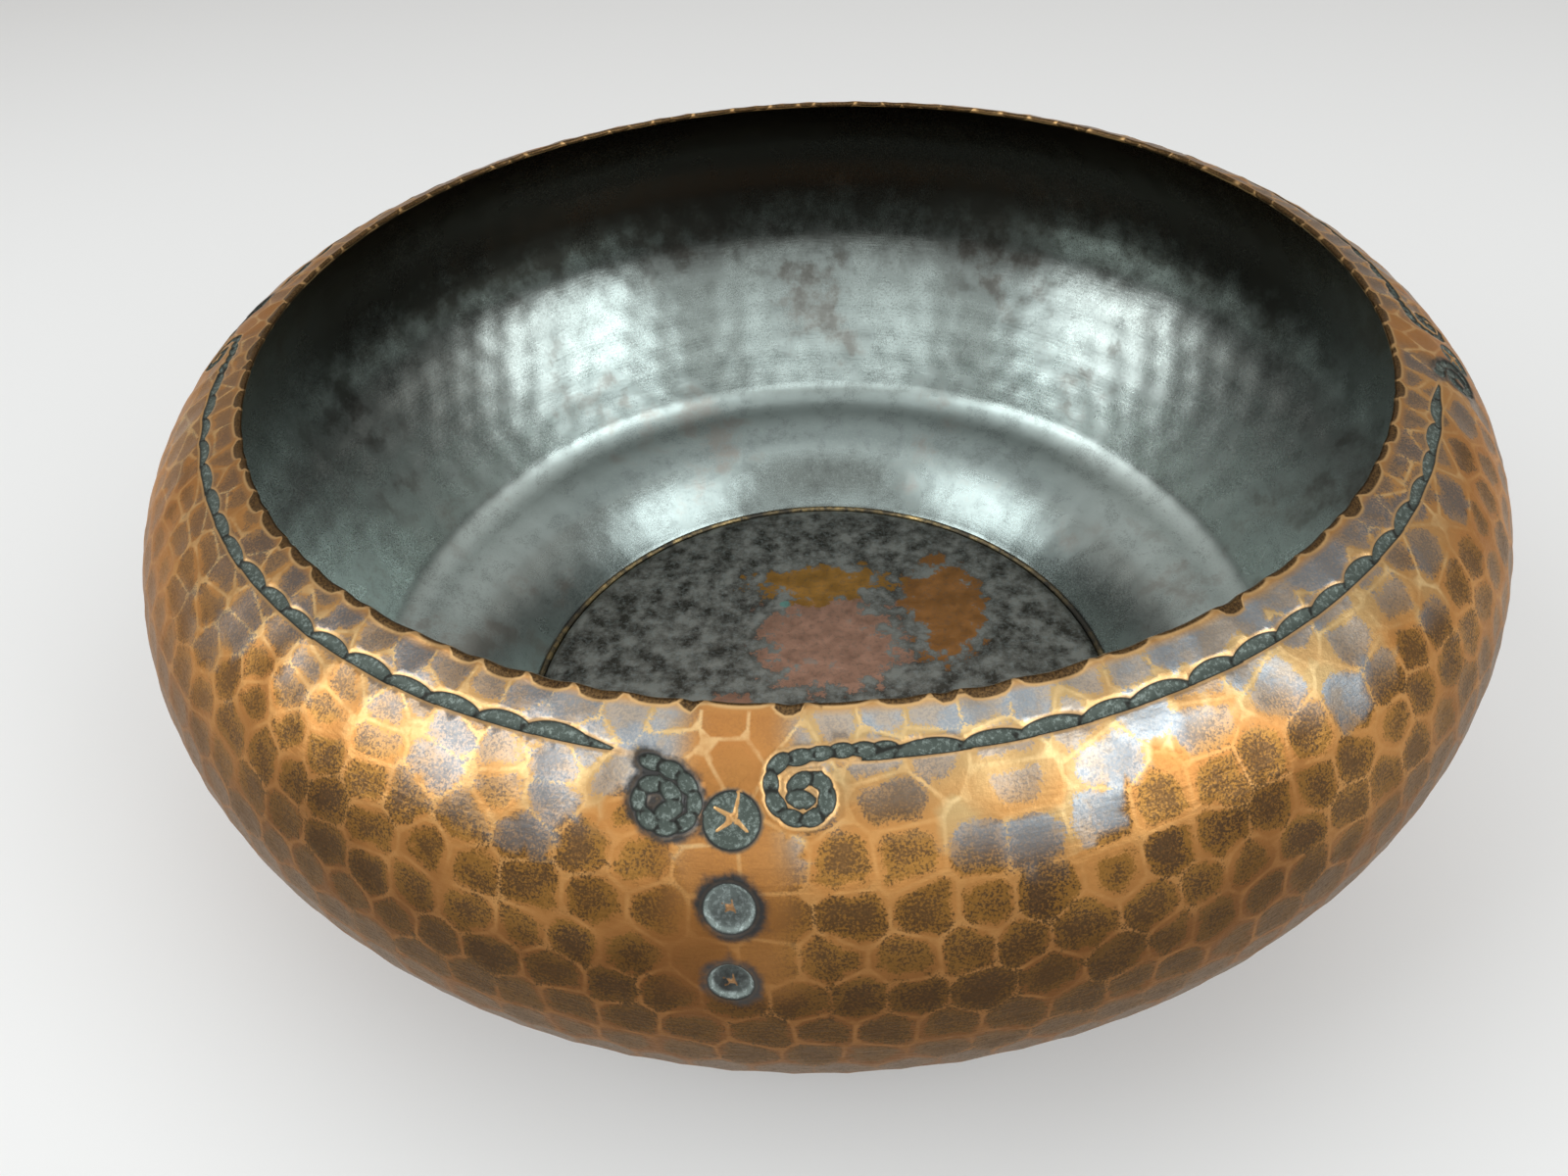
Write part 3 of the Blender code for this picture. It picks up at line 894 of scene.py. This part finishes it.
def wall_metal():
    """The wall's copper, outside and inside."""
    material, shader, point, age = old_metal("hammered copper", 24.0, 1300.0)
    clouds, blotches, specks, grains, grain = age.values()
    shade, stain, cup, lip, quiet, scallop, in_bowl, in_chasing, in_stroke, gap, blow_gap = (
        place(material.node_tree, 'ShaderNodeAttribute', out="Fac", attribute_name=name) for name in (
            "shade", "stain", "cup", "lip", "quiet", "lip_scallop", "in_bowl", "in_chasing", "in_stroke",
            "ridge_gap", "blow_gap"))
    uneven = blotches - 0.5

    # Where on the bowl: the band below the mouth, partly painted sheen; the painted shade below the belly;
    # and the front.
    x, y, height = split(point).values()
    drift = (clouds - 0.5) * 0.010
    level = height + drift
    # high marks the band below the mouth: steel oxide there, with a painted sheen and painted brighter crests
    # and copper.
    high = step_over(height + (shade - 0.5) * 0.0085 + drift * 0.4, *STEEL_AND_SHEEN_BAND)
    front = step_over(y, *TO_FRONT)
    # low is painted shade: the outside darker below the belly, most at the front.
    low = step_over(level, *PAINTED_SHADE_BELLY) * between(front, 0.25, 1.0)

    # Patina lies in the flats, thicker in some, with a grainy edge.  There is less of it at the left.
    thick = (shade - 0.5) * 0.0012 + uneven * 0.0012 + (grains - 0.5) * 0.0007
    depth = calc('MINIMUM', gap, PATINA_RADIUS - blow_gap) + thick
    cover = step_over(depth + calc('MAXIMUM', front, high) * 0.0008, *COVER_START)
    patina = cover * between(grains, 0.80, 1.0) * (1.0 - lip) * between(quiet, 1.0, 0.15)
    patina = patina * between(step_over(x, -0.08, -0.135), 1.0, 0.5)
    dark_grains = grains + step_over(depth, 0.0008, 0.0030) * between(front, 0.95, 0.60)
    dark_grains = step_over(dark_grains + uneven * 0.7, 0.35, 1.20)
    thin = blend(front, (0.210, 0.120, 0.055), (0.330, 0.165, 0.036))
    thick_colour = blend(shade, (0.135, 0.075, 0.030), (0.068, 0.046, 0.029))
    # In the band below the mouth it is steel-grey to blue oxide with a painted blue-white sheen, most at the
    # front and less at the left.
    blue = step_over(shade + uneven * 0.8, 0.45, 0.95)
    # The steel colour is partly a painted blue-white reflection of the lamps.
    steel = layered((0.420, 0.390, 0.360), (blue, (0.340, 0.430, 0.520)),
                    (dark_grains * 0.25, (0.20, 0.17, 0.14)))
    steel_oxide_and_painted_sheen = high * between(step_over(y, -0.070, -0.112), 0.25, 0.9)
    steel_oxide_and_painted_sheen = steel_oxide_and_painted_sheen * between(step_over(x, -0.02, -0.05), 1.0, 0.55) * (1.0 - quiet)
    patina_colour = layered(thin, (dark_grains, thick_colour), (steel_oxide_and_painted_sheen, steel),
                            (low * 0.80, (0.032, 0.016, 0.0050)))

    # Between the flats the copper is rubbed, brightest along the ridges, and stained round the punches.  It
    # and the crests are painted brighter in the band below the mouth, as a highlight, and darker low down, as
    # shade.
    rubbed_colour = layered((0.46, 0.195, 0.053), (clouds, (0.54, 0.255, 0.076)),
                            (steel_oxide_and_painted_sheen, (0.55, 0.385, 0.175)), (low, (0.150, 0.060, 0.017)))
    crest = 1.0 - step_over(gap, *CREST_WIDTH)
    crest_colour = layered((0.68, 0.37, 0.130), (high, (0.90, 0.66, 0.33)), (low, (0.32, 0.150, 0.048)))
    facet_colour = blend(grains * 0.7, (0.048, 0.026, 0.011), (0.22, 0.125, 0.045))
    rubbed_and_highlit_edge = step_over(in_chasing, -0.00060, -0.0001) * ((1.0 - stain) * 0.8)
    copper = layered(
        rubbed_colour,
        (crest * between(blotches, 0.1, 0.7), crest_colour),
        (patina * 0.95, patina_colour),
        (step_over(stain + uneven * 0.5, 0.35, 1.0), (0.050, 0.050, 0.050)),
        (lip * 0.8, (0.46, 0.225, 0.070)),
        # The dark facets of the mouth's edge, each with a bright border.
        (step_over(scallop, -0.0007, -0.0001), (0.60, 0.37, 0.16)),
        (step_over(scallop, -0.0001, 0.0003), facet_colour),
        # The chasing's edges are rubbed bright, with a painted highlight along them, and its stars brown in
        # the two cups.
        (rubbed_and_highlit_edge, (0.66, 0.40, 0.17)),
        (cup * 0.6, (0.16, 0.075, 0.045)))

    # Grey-green dirt fills the chasing, darkest between its strokes.  A cup's wall is pale, and its bottom is
    # painted dark as shade.
    chased = step_over(in_chasing, -0.00004, 0.00012)
    dirt = layered(
        (0.066, 0.088, 0.078),
        (specks, (0.20, 0.245, 0.225)),
        (step_over(in_stroke, 0.0004, 0.00005), (0.012, 0.016, 0.015)),
        (step_over(cup, 0.0, 0.3) * between(specks, 0.35, 1.0), (0.38, 0.45, 0.44)),
        # painted shade at the bottom of a cup
        (step_over(cup, 0.50, 1.0) * between(blotches, 1.0, 0.35), (0.030, 0.036, 0.036)))
    outside = blend(chased, copper, dirt)

    # Inside it is grey, with specks, brown where it is worn, and dark pits.  Painted shade darkens the
    # stepped bottom, the dull crease and, to near black, the part towards the mouth; painted reflections of
    # the lamps make it paler at the sides.
    dull_and_painted_shade = step_over(height, *DULL_AND_SHADED_ABOVE) * step_over(height, *DULL_AND_SHADED_BELOW)
    # upper is painted shade: near black towards the mouth, most at the back.
    upper = step_over(level + uneven * 0.012, *PAINTED_SHADE_MOUTH) * between(step_over(y, -0.02, 0.07), 0.55, 1.0)
    inside = layered(
        (0.43, 0.50, 0.48),
        (blotches, (0.50, 0.585, 0.562)),
        # painted shade on the stepped bottom
        (step_over(height, *PAINTED_SHADE_BOTTOM) * 0.45, (0.10, 0.12, 0.118)),
        # painted shade at the dull crease
        (dull_and_painted_shade * 0.30, (0.17, 0.20, 0.195)),
        # painted reflection of the lamps: paler at the left and right sides
        (step_over(x * x, 0.0045, 0.0120) * 0.65, (0.78, 0.86, 0.82)),
        (specks * 0.30, (0.42, 0.47, 0.45)),
        (step_over(clouds + uneven * 0.5, 0.70, 1.2) * 0.45, (0.26, 0.19, 0.15)),
        (step_over(blotches, 0.45, 0.15) * step_over(grains, 0.35, 0.75) * 0.28, (0.08, 0.085, 0.082)),
        # painted shade towards the mouth
        (upper, (0.050, 0.048, 0.042)))

    rough_outside = blend_numbers(chased, between(patina, 0.36, 0.29) + specks * 0.10, 0.50)
    rough_inside = blend_numbers(dull_and_painted_shade, between(clouds, 0.24, 0.30) + specks * 0.08, 0.48)
    waxed = (1.0 - in_bowl) * (1.0 - chased) * (between(patina, 0.10, 0.28) * high)
    # Fine scratches run round the bowl from scouring it.
    stretched = place(material.node_tree, 'ShaderNodeVectorMath', {0: point, 1: SCOUR_STRETCH},
                      operation='MULTIPLY')
    scratches = place(material.node_tree, 'ShaderNodeTexNoise',
                      {"Vector": stretched, "Scale": SCOUR_SCALE, "Detail": 2.0})
    fine_relief = (grain + scratches * 1.2) * between(in_bowl, 1.0, 0.45)
    fill(shader, {
        "Base Color": blend(in_bowl, outside, inside),
        "Roughness": blend_numbers(in_bowl, rough_outside, rough_inside),
        "Metallic": blend_numbers(in_bowl, blend_numbers(chased, 0.85, 0.45), 0.95),
        "Coat Weight": waxed,
        "Coat Roughness": 0.26,
        "Specular Tint": (0.86, 0.73, 0.61, 1.0),
        "Normal": relief(fine_relief, 0.35, 0.00012),
    })
    return material


hammered_copper = wall_metal()
bowl_wall = made_by_nodes("hammered_wall", sheet, raising_tree(), {
    "Outline": rail, "Blows": blow_cloud, "Ridges": ridge_net, "Dish Curve": DISH_CURVE,
    "Ridge Height": RIDGE_HEIGHT, "Ridge Softness": RIDGE_SOFTNESS, "Unroll Radius": UNROLL_RADIUS,
    "Metal": hammered_copper})
discard(sheet, blow_cloud, ridge_net, rail)


def face_out(piece):
    """Turn a closed piece's faces outwards and shade it smooth."""
    shape = bmesh.new()
    shape.from_mesh(piece.data)
    bmesh.ops.recalc_face_normals(shape, faces=shape.faces)
    if shape.calc_volume(signed=True) < 0:
        bmesh.ops.reverse_faces(shape, faces=shape.faces)
    shape.to_mesh(piece.data)
    shape.free()
    piece.data.shade_smooth()


face_out(bowl_wall)
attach(bowl_wall, "root")
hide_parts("bowl_wall")


# ---------------------------------------------------------------- the bottom disc
# A flat copper disc laid on the wall's lap from inside.  It was planished flat in rings, and its dark
# patina is worn through to pink and ochre copper in patches.

DISC_RINGS = 64
DISC_SPOKES = 200
DISC_EDGE = 0.0004           # rounding of its edge
DISC_BLOW = 0.0085           # width of a blow, and how deep it sinks
DISC_RELIEF = 0.00010
# Patches worn bare: middle across and back, width, depth and colour.
WORN_PATCHES = (
    (0.004, 0.022, 0.042, 0.038, (0.66, 0.38, 0.27)),
    (0.040, 0.032, 0.022, 0.042, (0.58, 0.265, 0.085)),
    (-0.030, -0.022, 0.034, 0.030, (0.56, 0.31, 0.21)),
    (0.001, 0.046, 0.040, 0.017, (0.66, 0.34, 0.080)),
    (-0.011, 0.037, 0.004, 0.004, (0.25, 0.50, 0.44)),
)


def ring_blows(radius, pitch, dice):
    """Blow centres in rings over a disc."""
    centres = [(0.0, 0.0)]
    for ring in range(1, round(radius / pitch) + 1):
        count = round(2 * math.pi * ring)
        turn = dice.random()
        for number in range(count):
            # A draw for each way shakes the blow's place.
            shaken = [(number + dice.uniform(-0.2, 0.2)) / count for _ in range(2)]
            across, back = (2 * math.pi * (turn + share) for share in shaken)
            centres.append((ring * pitch * math.cos(across), ring * pitch * math.sin(back)))
    return centres


def nearest_gaps(points, centres):
    """Distance from each point to the nearest centre."""
    tree = KDTree(len(centres))
    for index, centre in enumerate(centres):
        tree.insert((centre[0], centre[1], 0.0), index)
    tree.balance()
    return np.array([tree.find((point[0], point[1], 0.0))[2] for point in points])


def make_disc():
    """The disc as a grid of rings and spokes, sunk a little under each blow, with a softened edge."""
    radius, top, bottom = disc_high[0], disc_high[2], disc_low[2]
    reaches = np.linspace(0, radius - DISC_EDGE, DISC_RINGS + 1)[1:]
    angles = 2 * math.pi * np.arange(DISC_SPOKES) / DISC_SPOKES
    face = np.array([(0.0, 0.0)] + [(r * math.cos(a), r * math.sin(a)) for r in reaches for a in angles])
    gaps = nearest_gaps(face, ring_blows(radius, DISC_BLOW, random.Random(23)))
    sunk = DISC_RELIEF * np.clip((gaps / (0.55 * DISC_BLOW)) ** 2 - 1, -1, 0)
    sunk *= smooth((radius - np.linalg.norm(face, axis=1)) / 0.004)
    points = [(x, y, top + dip) for (x, y), dip in zip(face, sunk)]
    edge = [(radius, top - DISC_EDGE), (radius, bottom + DISC_EDGE), (radius - DISC_EDGE, bottom)]
    for reach, height in edge:
        points += [(reach * math.cos(a), reach * math.sin(a), height) for a in angles]
    points.append((0.0, 0.0, bottom))
    pairs = [(i, (i + 1) % DISC_SPOKES) for i in range(DISC_SPOKES)]
    faces = [(0, 1 + i, 1 + j) for i, j in pairs]
    for row in range(DISC_RINGS + len(edge) - 1):
        first = 1 + row * DISC_SPOKES
        second = first + DISC_SPOKES
        faces += [(first + i, second + i, second + j, first + j) for i, j in pairs]
    faces += [(second + i, len(points) - 1, second + j) for i, j in pairs]
    return mesh_object("bottom_disc", points, faces=faces)


def disc_metal():
    """Dark cloudy patina, worn to pink and ochre copper in patches with ragged edges."""
    material, shader, point, age = old_metal("worn dark copper", 30.0, 700.0)
    blotches, specks = age["Blotches"], age["Specks"]
    ragged = (age["Clouds"] - 0.5) * 0.45 + (blotches - 0.5) * 0.75
    colour = layered((0.11, 0.105, 0.090), (blotches, (0.40, 0.405, 0.37)),
                     (specks * 0.5, (0.42, 0.47, 0.46)))

    def vector(operation, *values, out=0):
        """A result of a Vector Math node."""
        return place(material.node_tree, 'ShaderNodeVectorMath', enumerate(values), out, operation=operation)

    for x, y, width, depth, metal in WORN_PATCHES:
        shift = vector('SUBTRACT', point, (x, y, floor_height))
        reach = vector('LENGTH', vector('MULTIPLY', shift, (2 / width, 2 / depth, 0.0)), out="Value")
        worn = blend(specks * 0.30, metal, (0.20, 0.17, 0.15))
        colour = blend(step_over(reach + ragged, 1.12, 0.92), colour, worn)
    fill(shader, {"Base Color": colour, "Roughness": between(blotches, 0.36, 0.52), "Metallic": 0.9,
                  "Normal": relief(age["Grain"], 0.4, 0.00015)})
    return material


bottom_disc = make_disc()
bottom_disc.data.materials.append(disc_metal())
face_out(bottom_disc)
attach(bottom_disc, "root")
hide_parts("base_disc")


# ---------------------------------------------------------------- the spelter seams
# Brass spelter was run round the disc's edge inside, and round the foot ring outside.  Inside it shows as a
# thin golden line, broken where the patina has crept over it.

SEAM_SEGMENTS = 360
SEAM_WAVER = 0.00012         # how unevenly it ran
SEAM_INSET = 0.0003          # the gap that it fills beside the disc and beside the foot ring


def uneven_ring(name, outline, waver, seed):
    """A closed ring turned from an outline of (radius, height) points, slightly uneven along its run."""
    dice = np.random.default_rng(seed)
    angles = 2 * math.pi * np.arange(SEAM_SEGMENTS) / SEAM_SEGMENTS
    swell = sum(dice.normal() * np.sin(wave * angles + dice.uniform(0, 7)) / wave ** 0.5
                for wave in range(3, 60))
    swell *= waver / np.abs(swell).max()
    middle = np.mean(outline, axis=0)
    points, faces = [], []
    for step, angle in enumerate(angles):
        for radius, height in outline:
            shift = np.array((radius, height)) - middle
            reach = np.linalg.norm(shift)
            scale = 1 + min(swell[step], 0.0) / reach - waver / reach * 0.2
            r, z = middle + shift * scale
            points.append((r * math.cos(angle), r * math.sin(angle), z))
    count = len(outline)
    for step in range(SEAM_SEGMENTS):
        here, ahead = step * count, (step + 1) % SEAM_SEGMENTS * count
        faces += [(here + i, here + (i + 1) % count, ahead + (i + 1) % count, ahead + i)
                  for i in range(count)]
    return mesh_object(name, points, faces=faces)


def seam_metal():
    """Brass, bright only in short stretches."""
    material, shader, _, age = old_metal("brass spelter", 60.0)
    bright = age["Clouds"] * age["Blotches"]
    fill(shader, {"Base Color": blend(bright, (0.07, 0.065, 0.055), (0.60, 0.44, 0.20)),
                  "Roughness": between(bright, 0.5, 0.3), "Metallic": 1.0,
                  "Normal": relief(age["Grain"], 0.5, 0.0001)})
    return material


spelter = seam_metal()
seam_low, seam_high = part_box("base_seam")
seam_inner = disc_high[0] + SEAM_INSET
seam_outline = [
    (seam_inner, seam_low[2] + 0.0001), (seam_high[0] - 0.0013, seam_low[2] + 0.0001),
    (seam_high[0] - 0.0002, seam_high[2] - 0.0002), (seam_high[0] - 0.0006, seam_high[2]),
    (seam_inner + 0.0006, seam_high[2] - 0.0003), (seam_inner, floor_height - 0.0002),
]
inside_seam = uneven_ring("inside_seam", seam_outline, SEAM_WAVER, 2)
inside_seam.data.materials.append(spelter)
face_out(inside_seam)
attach(inside_seam, "root")
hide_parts("base_seam")

fillet_low, fillet_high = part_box("foot_seam")
fillet_inner = foot_high[0] + SEAM_INSET
fillet_outline = [
    (fillet_inner, fillet_low[2]), (fillet_inner + 0.0006, fillet_low[2] + 0.0011),
    (fillet_inner + 0.0013, fillet_low[2] + 0.0021), (fillet_high[0], fillet_high[2]),
    (LAP_CORNER, foot_high[2]), (fillet_inner, foot_high[2]),
]
outside_seam = uneven_ring("outside_seam", fillet_outline, SEAM_WAVER, 4)
outside_seam.data.materials.append(spelter)
face_out(outside_seam)
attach(outside_seam, "root")
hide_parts("foot_seam")


# ---------------------------------------------------------------- the foot ring
# A flat copper strip bent to a ring and brazed under the lap.  The bowl stands on it, so its lower edge is
# rubbed bright and its sides are brown.

FOOT_EDGE = 0.0008           # rounding of its lower edges
FOOT_WIDTH = 0.007


def foot_metal():
    """Brown copper, rubbed bright low down."""
    material, shader, point, age = old_metal("brown foot copper", 40.0)
    rubbed = 1.0 - step_over(split(point)["Z"], 0.0003, 0.0014)
    brown = layered((0.12, 0.065, 0.045), (age["Blotches"], (0.24, 0.12, 0.07)),
                    (age["Specks"] * 0.5, (0.05, 0.035, 0.03)))
    fill(shader, {"Base Color": blend(rubbed, brown, (0.62, 0.30, 0.16)),
                  "Roughness": between(rubbed, 0.45, 0.3), "Metallic": 1.0,
                  "Normal": relief(age["Grain"], 0.5, 0.0001)})
    return material


foot_inner = foot_high[0] - FOOT_WIDTH
foot_outline = [
    (foot_high[0], foot_high[2]), (foot_high[0], 2 * FOOT_EDGE), (foot_high[0], FOOT_EDGE),
    (foot_high[0] - 0.3 * FOOT_EDGE, 0.3 * FOOT_EDGE), (foot_high[0] - FOOT_EDGE, 0.0),
    (foot_inner + FOOT_EDGE, 0.0), (foot_inner + 0.3 * FOOT_EDGE, 0.3 * FOOT_EDGE),
    (foot_inner, FOOT_EDGE), (foot_inner, foot_high[2]),
]
foot = uneven_ring("foot", foot_outline, 0.0, 6)
foot.data.materials.append(foot_metal())
face_out(foot)
foot.data.set_sharp_from_angle(angle=math.radians(50))
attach(foot, "root")
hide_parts("foot_ring")


# ---------------------------------------------------------------- the floor, the lights and the camera
# A pale floor, soft lamps at the left, at the right, overhead and in front, pale grey light all round, and
# the camera looking down into the bowl.

bpy.ops.mesh.primitive_plane_add(size=8.0)
floor = bpy.context.object
floor.name = "floor"
floor_paint, floor_shader = new_material("floor paint")
fill(floor_shader, {"Base Color": (0.84, 0.84, 0.84, 1.0), "Roughness": 0.9})
floor.data.materials.append(floor_paint)

world = bpy.data.worlds.new("studio")
world.use_nodes = True
fill(world.node_tree.nodes["Background"], {"Color": (0.66, 0.63, 0.60, 1.0), "Strength": 0.64})
bpy.context.scene.world = world
bpy.context.scene.view_settings.view_transform = 'Standard'


LAMP_COLOUR = (0.93, 0.98, 1.0)
LAMP_AIM = (0.0, 0.0, 0.1)


def soft_lamp(name, place_at, width, depth, power):
    """A soft lamp at a place, turned to the bowl."""
    data = bpy.data.lights.new(name, 'AREA')
    data.shape = 'RECTANGLE'
    data.size, data.size_y = width, depth
    data.energy = power
    data.color = LAMP_COLOUR
    lamp = bpy.data.objects.new(name, data)
    lamp.location = place_at
    lamp.rotation_euler = (Vector(LAMP_AIM) - Vector(place_at)).to_track_quat('-Z', 'Y').to_euler()
    bpy.context.collection.objects.link(lamp)


LAMP_DISTANCE = 1.6          # two upright soft lamps stand left and right in front of the bowl
LAMP_WIDTH = 0.80
LAMP_LENGTH = 1.26
LAMP_RISE = math.radians(38)
SIDE_POWER = 11.5
for turn, name in ((-70, "left lamp"), (57, "right lamp")):
    turn = math.radians(turn)
    away = LAMP_DISTANCE * math.cos(LAMP_RISE)
    stand = (away * math.sin(turn), -away * math.cos(turn), LAMP_DISTANCE * math.sin(LAMP_RISE) + 0.1)
    soft_lamp(name, stand, LAMP_WIDTH, LAMP_LENGTH, SIDE_POWER)
soft_lamp("top lamp", (0.0, 0.1, 1.7), 1.3, 1.3, 5.0)
soft_lamp("front lamp", (-0.2, -1.5, 1.05), 1.6, 0.7, 4.2)

CAMERA_LENS = 25.72          # millimetres
CAMERA_PLACE = (0.0, -0.2259, 0.2544)
CAMERA_TILT = (47.57, 2.75, -0.25)   # degrees
camera_data = bpy.data.cameras.new("camera")
camera_data.lens = CAMERA_LENS
camera_data.sensor_width = 36.0
camera = bpy.data.objects.new("camera", camera_data)
camera.location = CAMERA_PLACE
camera.rotation_euler = [math.radians(angle) for angle in CAMERA_TILT]
bpy.context.collection.objects.link(camera)
bpy.context.scene.camera = camera
